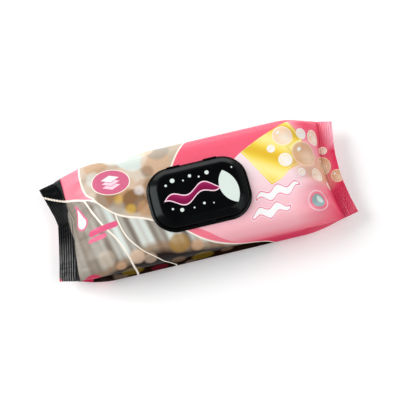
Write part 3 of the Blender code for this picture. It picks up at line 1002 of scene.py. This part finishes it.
def build_lid(printed):
    slope = math.hypot(BEVEL_RUN, BEVEL_RISE) / BEVEL_RUN
    under_bevel = SKIRT_TOP - LID_WALL * slope
    bevel_end = LID_MARGIN + BEVEL_RUN

    def bevel(inset):
        return BEVEL_RISE * clamp((inset - LID_MARGIN) / BEVEL_RUN)

    flat_start = bevel_end + LID_WALL / 2
    inside = [
        (LID_MARGIN, SKIRT_BOTTOM),
        (SKIRT_INSIDE, SKIRT_BOTTOM),
        (SKIRT_INSIDE, under_bevel + bevel(SKIRT_INSIDE)),
        (PLUG_OUTSIDE, under_bevel + bevel(PLUG_OUTSIDE)),
        (PLUG_OUTSIDE, COLLAR_TOP - PLUG_REACH),
        (PLUG_INSIDE, COLLAR_TOP - PLUG_REACH),
        (PLUG_INSIDE, under_bevel + bevel(PLUG_INSIDE)),
        (flat_start, LID_TOP - LID_WALL),
        (flat_start + FLAT_INSIDE, LID_TOP - LID_WALL),
    ]
    lip_low = SKIRT_BOTTOM + SKIRT_GAP
    lip_high = lip_low + LIP_THICKNESS
    outside = [(bevel_end + FLAT_OUTSIDE, LID_TOP), (bevel_end, LID_TOP), (LID_MARGIN, SKIRT_TOP)]
    outside.append((LID_MARGIN, lip_high + LIP_ROOM))
    loops = [frame_loop(inset, z) for inset, z in rounded(outside, LID_ROUNDING, steps=7)]
    lip_edge = ((-LIP_EDGE, 0.0), (0.0, 0.35), (LIP_EDGE, 0.8), (2.5 * LIP_EDGE, 1.0))
    loops += [frame_loop(LID_MARGIN, lip_high - step, lip) for step, lip in lip_edge]
    loops += [frame_loop(LID_MARGIN, lip_low + step, lip) for step, lip in lip_edge[::-1]]
    loops += [frame_loop(inset, z) for inset, z in rounded(inside, INSIDE_ROUNDING, steps=3)[1:]]
    lid = add_piece("lid_shell", loft("lid_shell", loops), printed, "lid")
    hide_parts("flip_lid")


def build_frame(plastic):
    profile = [
        (0.0, FRAME_BASE),
        (0.0, FRAME_BASE + FLANGE_EDGE),
        (FLANGE_SLOPE, FLANGE_TOP),
        (COLLAR_OUTSIDE, FLANGE_TOP),
        (COLLAR_OUTSIDE, COLLAR_TOP - 3 * BEAD_RISE),
        (BEAD_INSET, COLLAR_TOP - 2 * BEAD_RISE),
        (BEAD_INSET, COLLAR_TOP - BEAD_RISE),
        (COLLAR_OUTSIDE, COLLAR_TOP),
        (COLLAR_INSIDE, COLLAR_TOP),
        (COLLAR_INSIDE, FLANGE_TOP),
        (OPENING_INSET, FLANGE_TOP),
        (OPENING_INSET, FRAME_BASE),
    ]
    loops = [frame_loop(inset, z) for inset, z in rounded(profile, FRAME_ROUNDING, steps=3, closed=True)]
    mesh = loft("lid_frame_skin", loops, ring=True)
    obj = add_piece("frame_skin", mesh, plastic, None)
    guides = []
    for i, x in enumerate((-STRAP_SPACING / 2, STRAP_SPACING / 2)):
        low = Vector((x - STRAP_WIDTH / 2, HINGE_Y - HINGE_MARGIN / 4, FLANGE_TOP - FLANGE / 2))
        top = HINGE_Z - STRAP_THICKNESS / 2 - HINGE_GAP
        high = Vector((x + STRAP_WIDTH / 2, HINGE_Y + HINGE_MARGIN - POST_ROOM, top))
        bm = bmesh.new()
        size = high - low
        place = Matrix.Translation((low + high) / 2) @ Matrix.Diagonal((*size, 1.0))
        bmesh.ops.create_cube(bm, size=1.0, matrix=place)
        bmesh.ops.bevel(bm, geom=list(bm.edges), offset=POST_ROUNDING, segments=2, affect="EDGES")
        post = bpy.data.meshes.new(f"post_{i}")
        bm.to_mesh(post)
        bm.free()
        guide = add_object(f"post_{i}", post)
        guides.append(guide)
        modifier = obj.modifiers.new(f"post_{i}", "BOOLEAN")
        modifier.operation = "UNION"
        modifier.solver = "EXACT"
        modifier.object = guide
    bake_modifiers(obj)
    for guide in guides:
        bpy.data.objects.remove(guide, do_unlink=True)
    obj.data.shade_smooth()
    obj.data.set_sharp_from_angle(angle=math.radians(40.0))
    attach(obj, "pack")
    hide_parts("lid_frame")


def build_straps(plastic):
    """The two straps of the living hinge, thinned at the hinge's line."""
    for i, x in enumerate((-STRAP_SPACING / 2, STRAP_SPACING / 2)):
        loops = []
        low, high = x - STRAP_WIDTH / 2, x + STRAP_WIDTH / 2
        first = HINGE_Y + STRAP_START
        last = FRAME_SHIFT + FRAME_DEPTH / 2 - LID_MARGIN - STRAP_OVERLAP
        for step in range(STRAP_STEPS + 1):
            y = first + (last - first) * step / STRAP_STEPS
            thin = STRAP_THINNING * math.exp(-((y - HINGE_Y) / STRAP_THIN_REACH) ** 2)
            half = STRAP_THICKNESS / 2 * (1.0 - thin)
            loops.append([
                (low, y, HINGE_Z - half + STRAP_EDGE), (low + STRAP_EDGE, y, HINGE_Z - half),
                (high - STRAP_EDGE, y, HINGE_Z - half), (high, y, HINGE_Z - half + STRAP_EDGE),
                (high, y, HINGE_Z + half - STRAP_EDGE), (high - STRAP_EDGE, y, HINGE_Z + half),
                (low + STRAP_EDGE, y, HINGE_Z + half), (low, y, HINGE_Z + half - STRAP_EDGE),
            ])
        mesh = loft(f"strap_{i}", loops)
        obj = add_piece(f"hinge_strap_{i + 1}", mesh, plastic, None)
        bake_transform(obj)


def label_material():
    material, shader = new_material("label_foil_finish")
    spot = material.node_tree.nodes.new("ShaderNodeTexCoord").outputs["Object"]
    art = Nodes(material.node_tree, spot)
    cloud = art.noise(spot, 220.0, detail=4.0)
    colour = art.ramp(cloud, [(0.3, linear(214, 218, 222)), (0.7, linear(236, 238, 240))])
    ring = art.band(art.disc(2.0, -3.0, 8.5, squeeze=0.62), 0.4)
    colour = art.paint(colour, STRONG, ring)
    colour = art.paint(colour, STRONG, art.polygon((-24.5, -3.0), (-21.0, -5.2), (-21.0, -0.8)))
    art.put(shader.inputs["Base Color"], colour)
    art.put(shader.inputs["Roughness"], art.spread(cloud, 0.18, 0.36))
    art.put(shader.inputs["Normal"], art.relief(cloud, 0.0001, 0.2))
    shader.inputs["Metallic"].default_value = 0.35
    return material


def build_label():
    half_x = FRAME_LENGTH / 2 - OPENING_INSET - LABEL_MARGIN
    half_y = FRAME_DEPTH / 2 - OPENING_INSET - LABEL_MARGIN
    body_left = TAB_LENGTH - half_x
    round_corner = LABEL_ROUNDING * half_y
    tab_half = min(TAB_WIDTH / 2, half_y - round_corner)
    corners = (
        (half_x - round_corner, half_y - round_corner, round_corner, 0),
        (body_left + round_corner, half_y - round_corner, round_corner, 90),
        (-half_x + tab_half, 0.0, tab_half, 90),
        (-half_x + tab_half, 0.0, tab_half, 180),
        (body_left + round_corner, round_corner - half_y, round_corner, 180),
        (half_x - round_corner, round_corner - half_y, round_corner, 270),
    )
    outline = []
    for index, (x, y, radius, first) in enumerate(corners):
        for i in range(1 if index == 3 else 0, LABEL_STEPS + 1):
            angle = math.radians(first + 90.0 * i / LABEL_STEPS)
            outline.append((x + radius * math.cos(angle), y + radius * math.sin(angle) + FRAME_SHIFT))
    base = BODY_HEIGHT + SEAT_GAP
    loops = []
    for shrink, z in ((0.0, base), (0.0, base + 0.7 * LABEL_THICKNESS), (LABEL_EDGE, base + LABEL_THICKNESS)):
        wide, deep = 1.0 - shrink / half_x, 1.0 - shrink / half_y
        loops.append([(x * wide, (y - FRAME_SHIFT) * deep + FRAME_SHIFT, z) for x, y in outline])
    label = add_piece("label_skin", loft("label_skin", loops), label_material(), "pack")
    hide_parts("peel_label")


# Studio

def build_floor():
    floor_mesh = bpy.data.meshes.new("studio_floor")
    corners = [(x * FLOOR_HALF, y * FLOOR_HALF, FLOOR_LEVEL) for x, y in ((-1, -1), (1, -1), (1, 1), (-1, 1))]
    floor_mesh.from_pydata(corners, [], [(0, 1, 2, 3)])
    material, shader = new_material("studio_floor")
    shader.inputs["Base Color"].default_value = (0.93, 0.93, 0.93, 1.0)
    shader.inputs["Roughness"].default_value = 0.9
    shader.inputs["Specular IOR Level"].default_value = 0.0
    shader.inputs["Emission Color"].default_value = (1.0, 1.0, 1.0, 1.0)
    art = Nodes(material.node_tree)
    sight = art.node("ShaderNodeLightPath")
    direct = art.math("MAXIMUM", sight.outputs["Is Camera Ray"], sight.outputs["Is Glossy Ray"])
    art.put(shader.inputs["Emission Strength"], art.times(direct, FLOOR_GLOW))
    floor_mesh.materials.append(material)
    floor = add_object("studio_floor", floor_mesh)


def build_world():
    """A white world that is dimmer overhead."""
    world = bpy.data.worlds.new("studio")
    bpy.context.scene.world = world
    world.use_nodes = True
    background = world.node_tree.nodes["Background"]
    background.inputs["Color"].default_value = (1.0, 1.0, 1.0, 1.0)
    art = Nodes(world.node_tree)
    split = art.node("ShaderNodeSeparateXYZ")
    art.put(split.inputs[0], art.node("ShaderNodeTexCoord").outputs["Generated"])
    fall = art.node("ShaderNodeMapRange", interpolation_type="SMOOTHSTEP")
    for name, value in (("From Min", 0.15), ("From Max", 0.95), ("To Min", 0.75), ("To Max", 0.15)):
        fall.inputs[name].default_value = value
    art.put(fall.inputs["Value"], split.outputs["Z"])
    art.put(background.inputs["Strength"], fall.outputs[0])


def build_lamps():
    for name, place, size, energy in LAMPS:
        light = bpy.data.lights.new(name, "AREA")
        light.shape = "RECTANGLE"
        light.size, light.size_y = size
        light.energy = energy
        obj = add_object(name, light)
        obj.location = place
        direction = Vector(LAMP_TARGET) - obj.location
        obj.rotation_euler = direction.to_track_quat("-Z", "Y").to_euler()


def build_camera():
    """The photo's camera, looking along a line through the pack's origin."""
    camera = bpy.data.cameras.new("camera")
    camera.lens = CAMERA_LENS
    camera.sensor_width = 36.0
    camera.shift_x = (PHOTO_PIXELS / 2 - ORIGIN_PIXEL[0]) / PHOTO_PIXELS
    camera.shift_y = (ORIGIN_PIXEL[1] - PHOTO_PIXELS / 2) / PHOTO_PIXELS
    azimuth, elevation = math.radians(CAMERA_AZIMUTH), math.radians(CAMERA_ELEVATION)
    flat = math.cos(elevation)
    back = Vector((math.sin(azimuth) * flat, -math.cos(azimuth) * flat, math.sin(elevation)))
    obj = add_object("camera", camera)
    obj.location = back * CAMERA_DISTANCE
    obj.rotation_euler = back.to_track_quat("Z", "Y").to_euler()
    bpy.context.scene.camera = obj


def main():
    build_film()
    plastic = plastic_material("black_plastic_finish")
    printed = plastic_material("printed_plastic_finish", lid_print)
    build_frame(plastic)
    build_lid(printed)
    build_straps(plastic)
    build_label()
    bpy.context.scene.view_settings.view_transform = "Standard"
    build_floor()
    build_world()
    build_lamps()
    build_camera()


main()
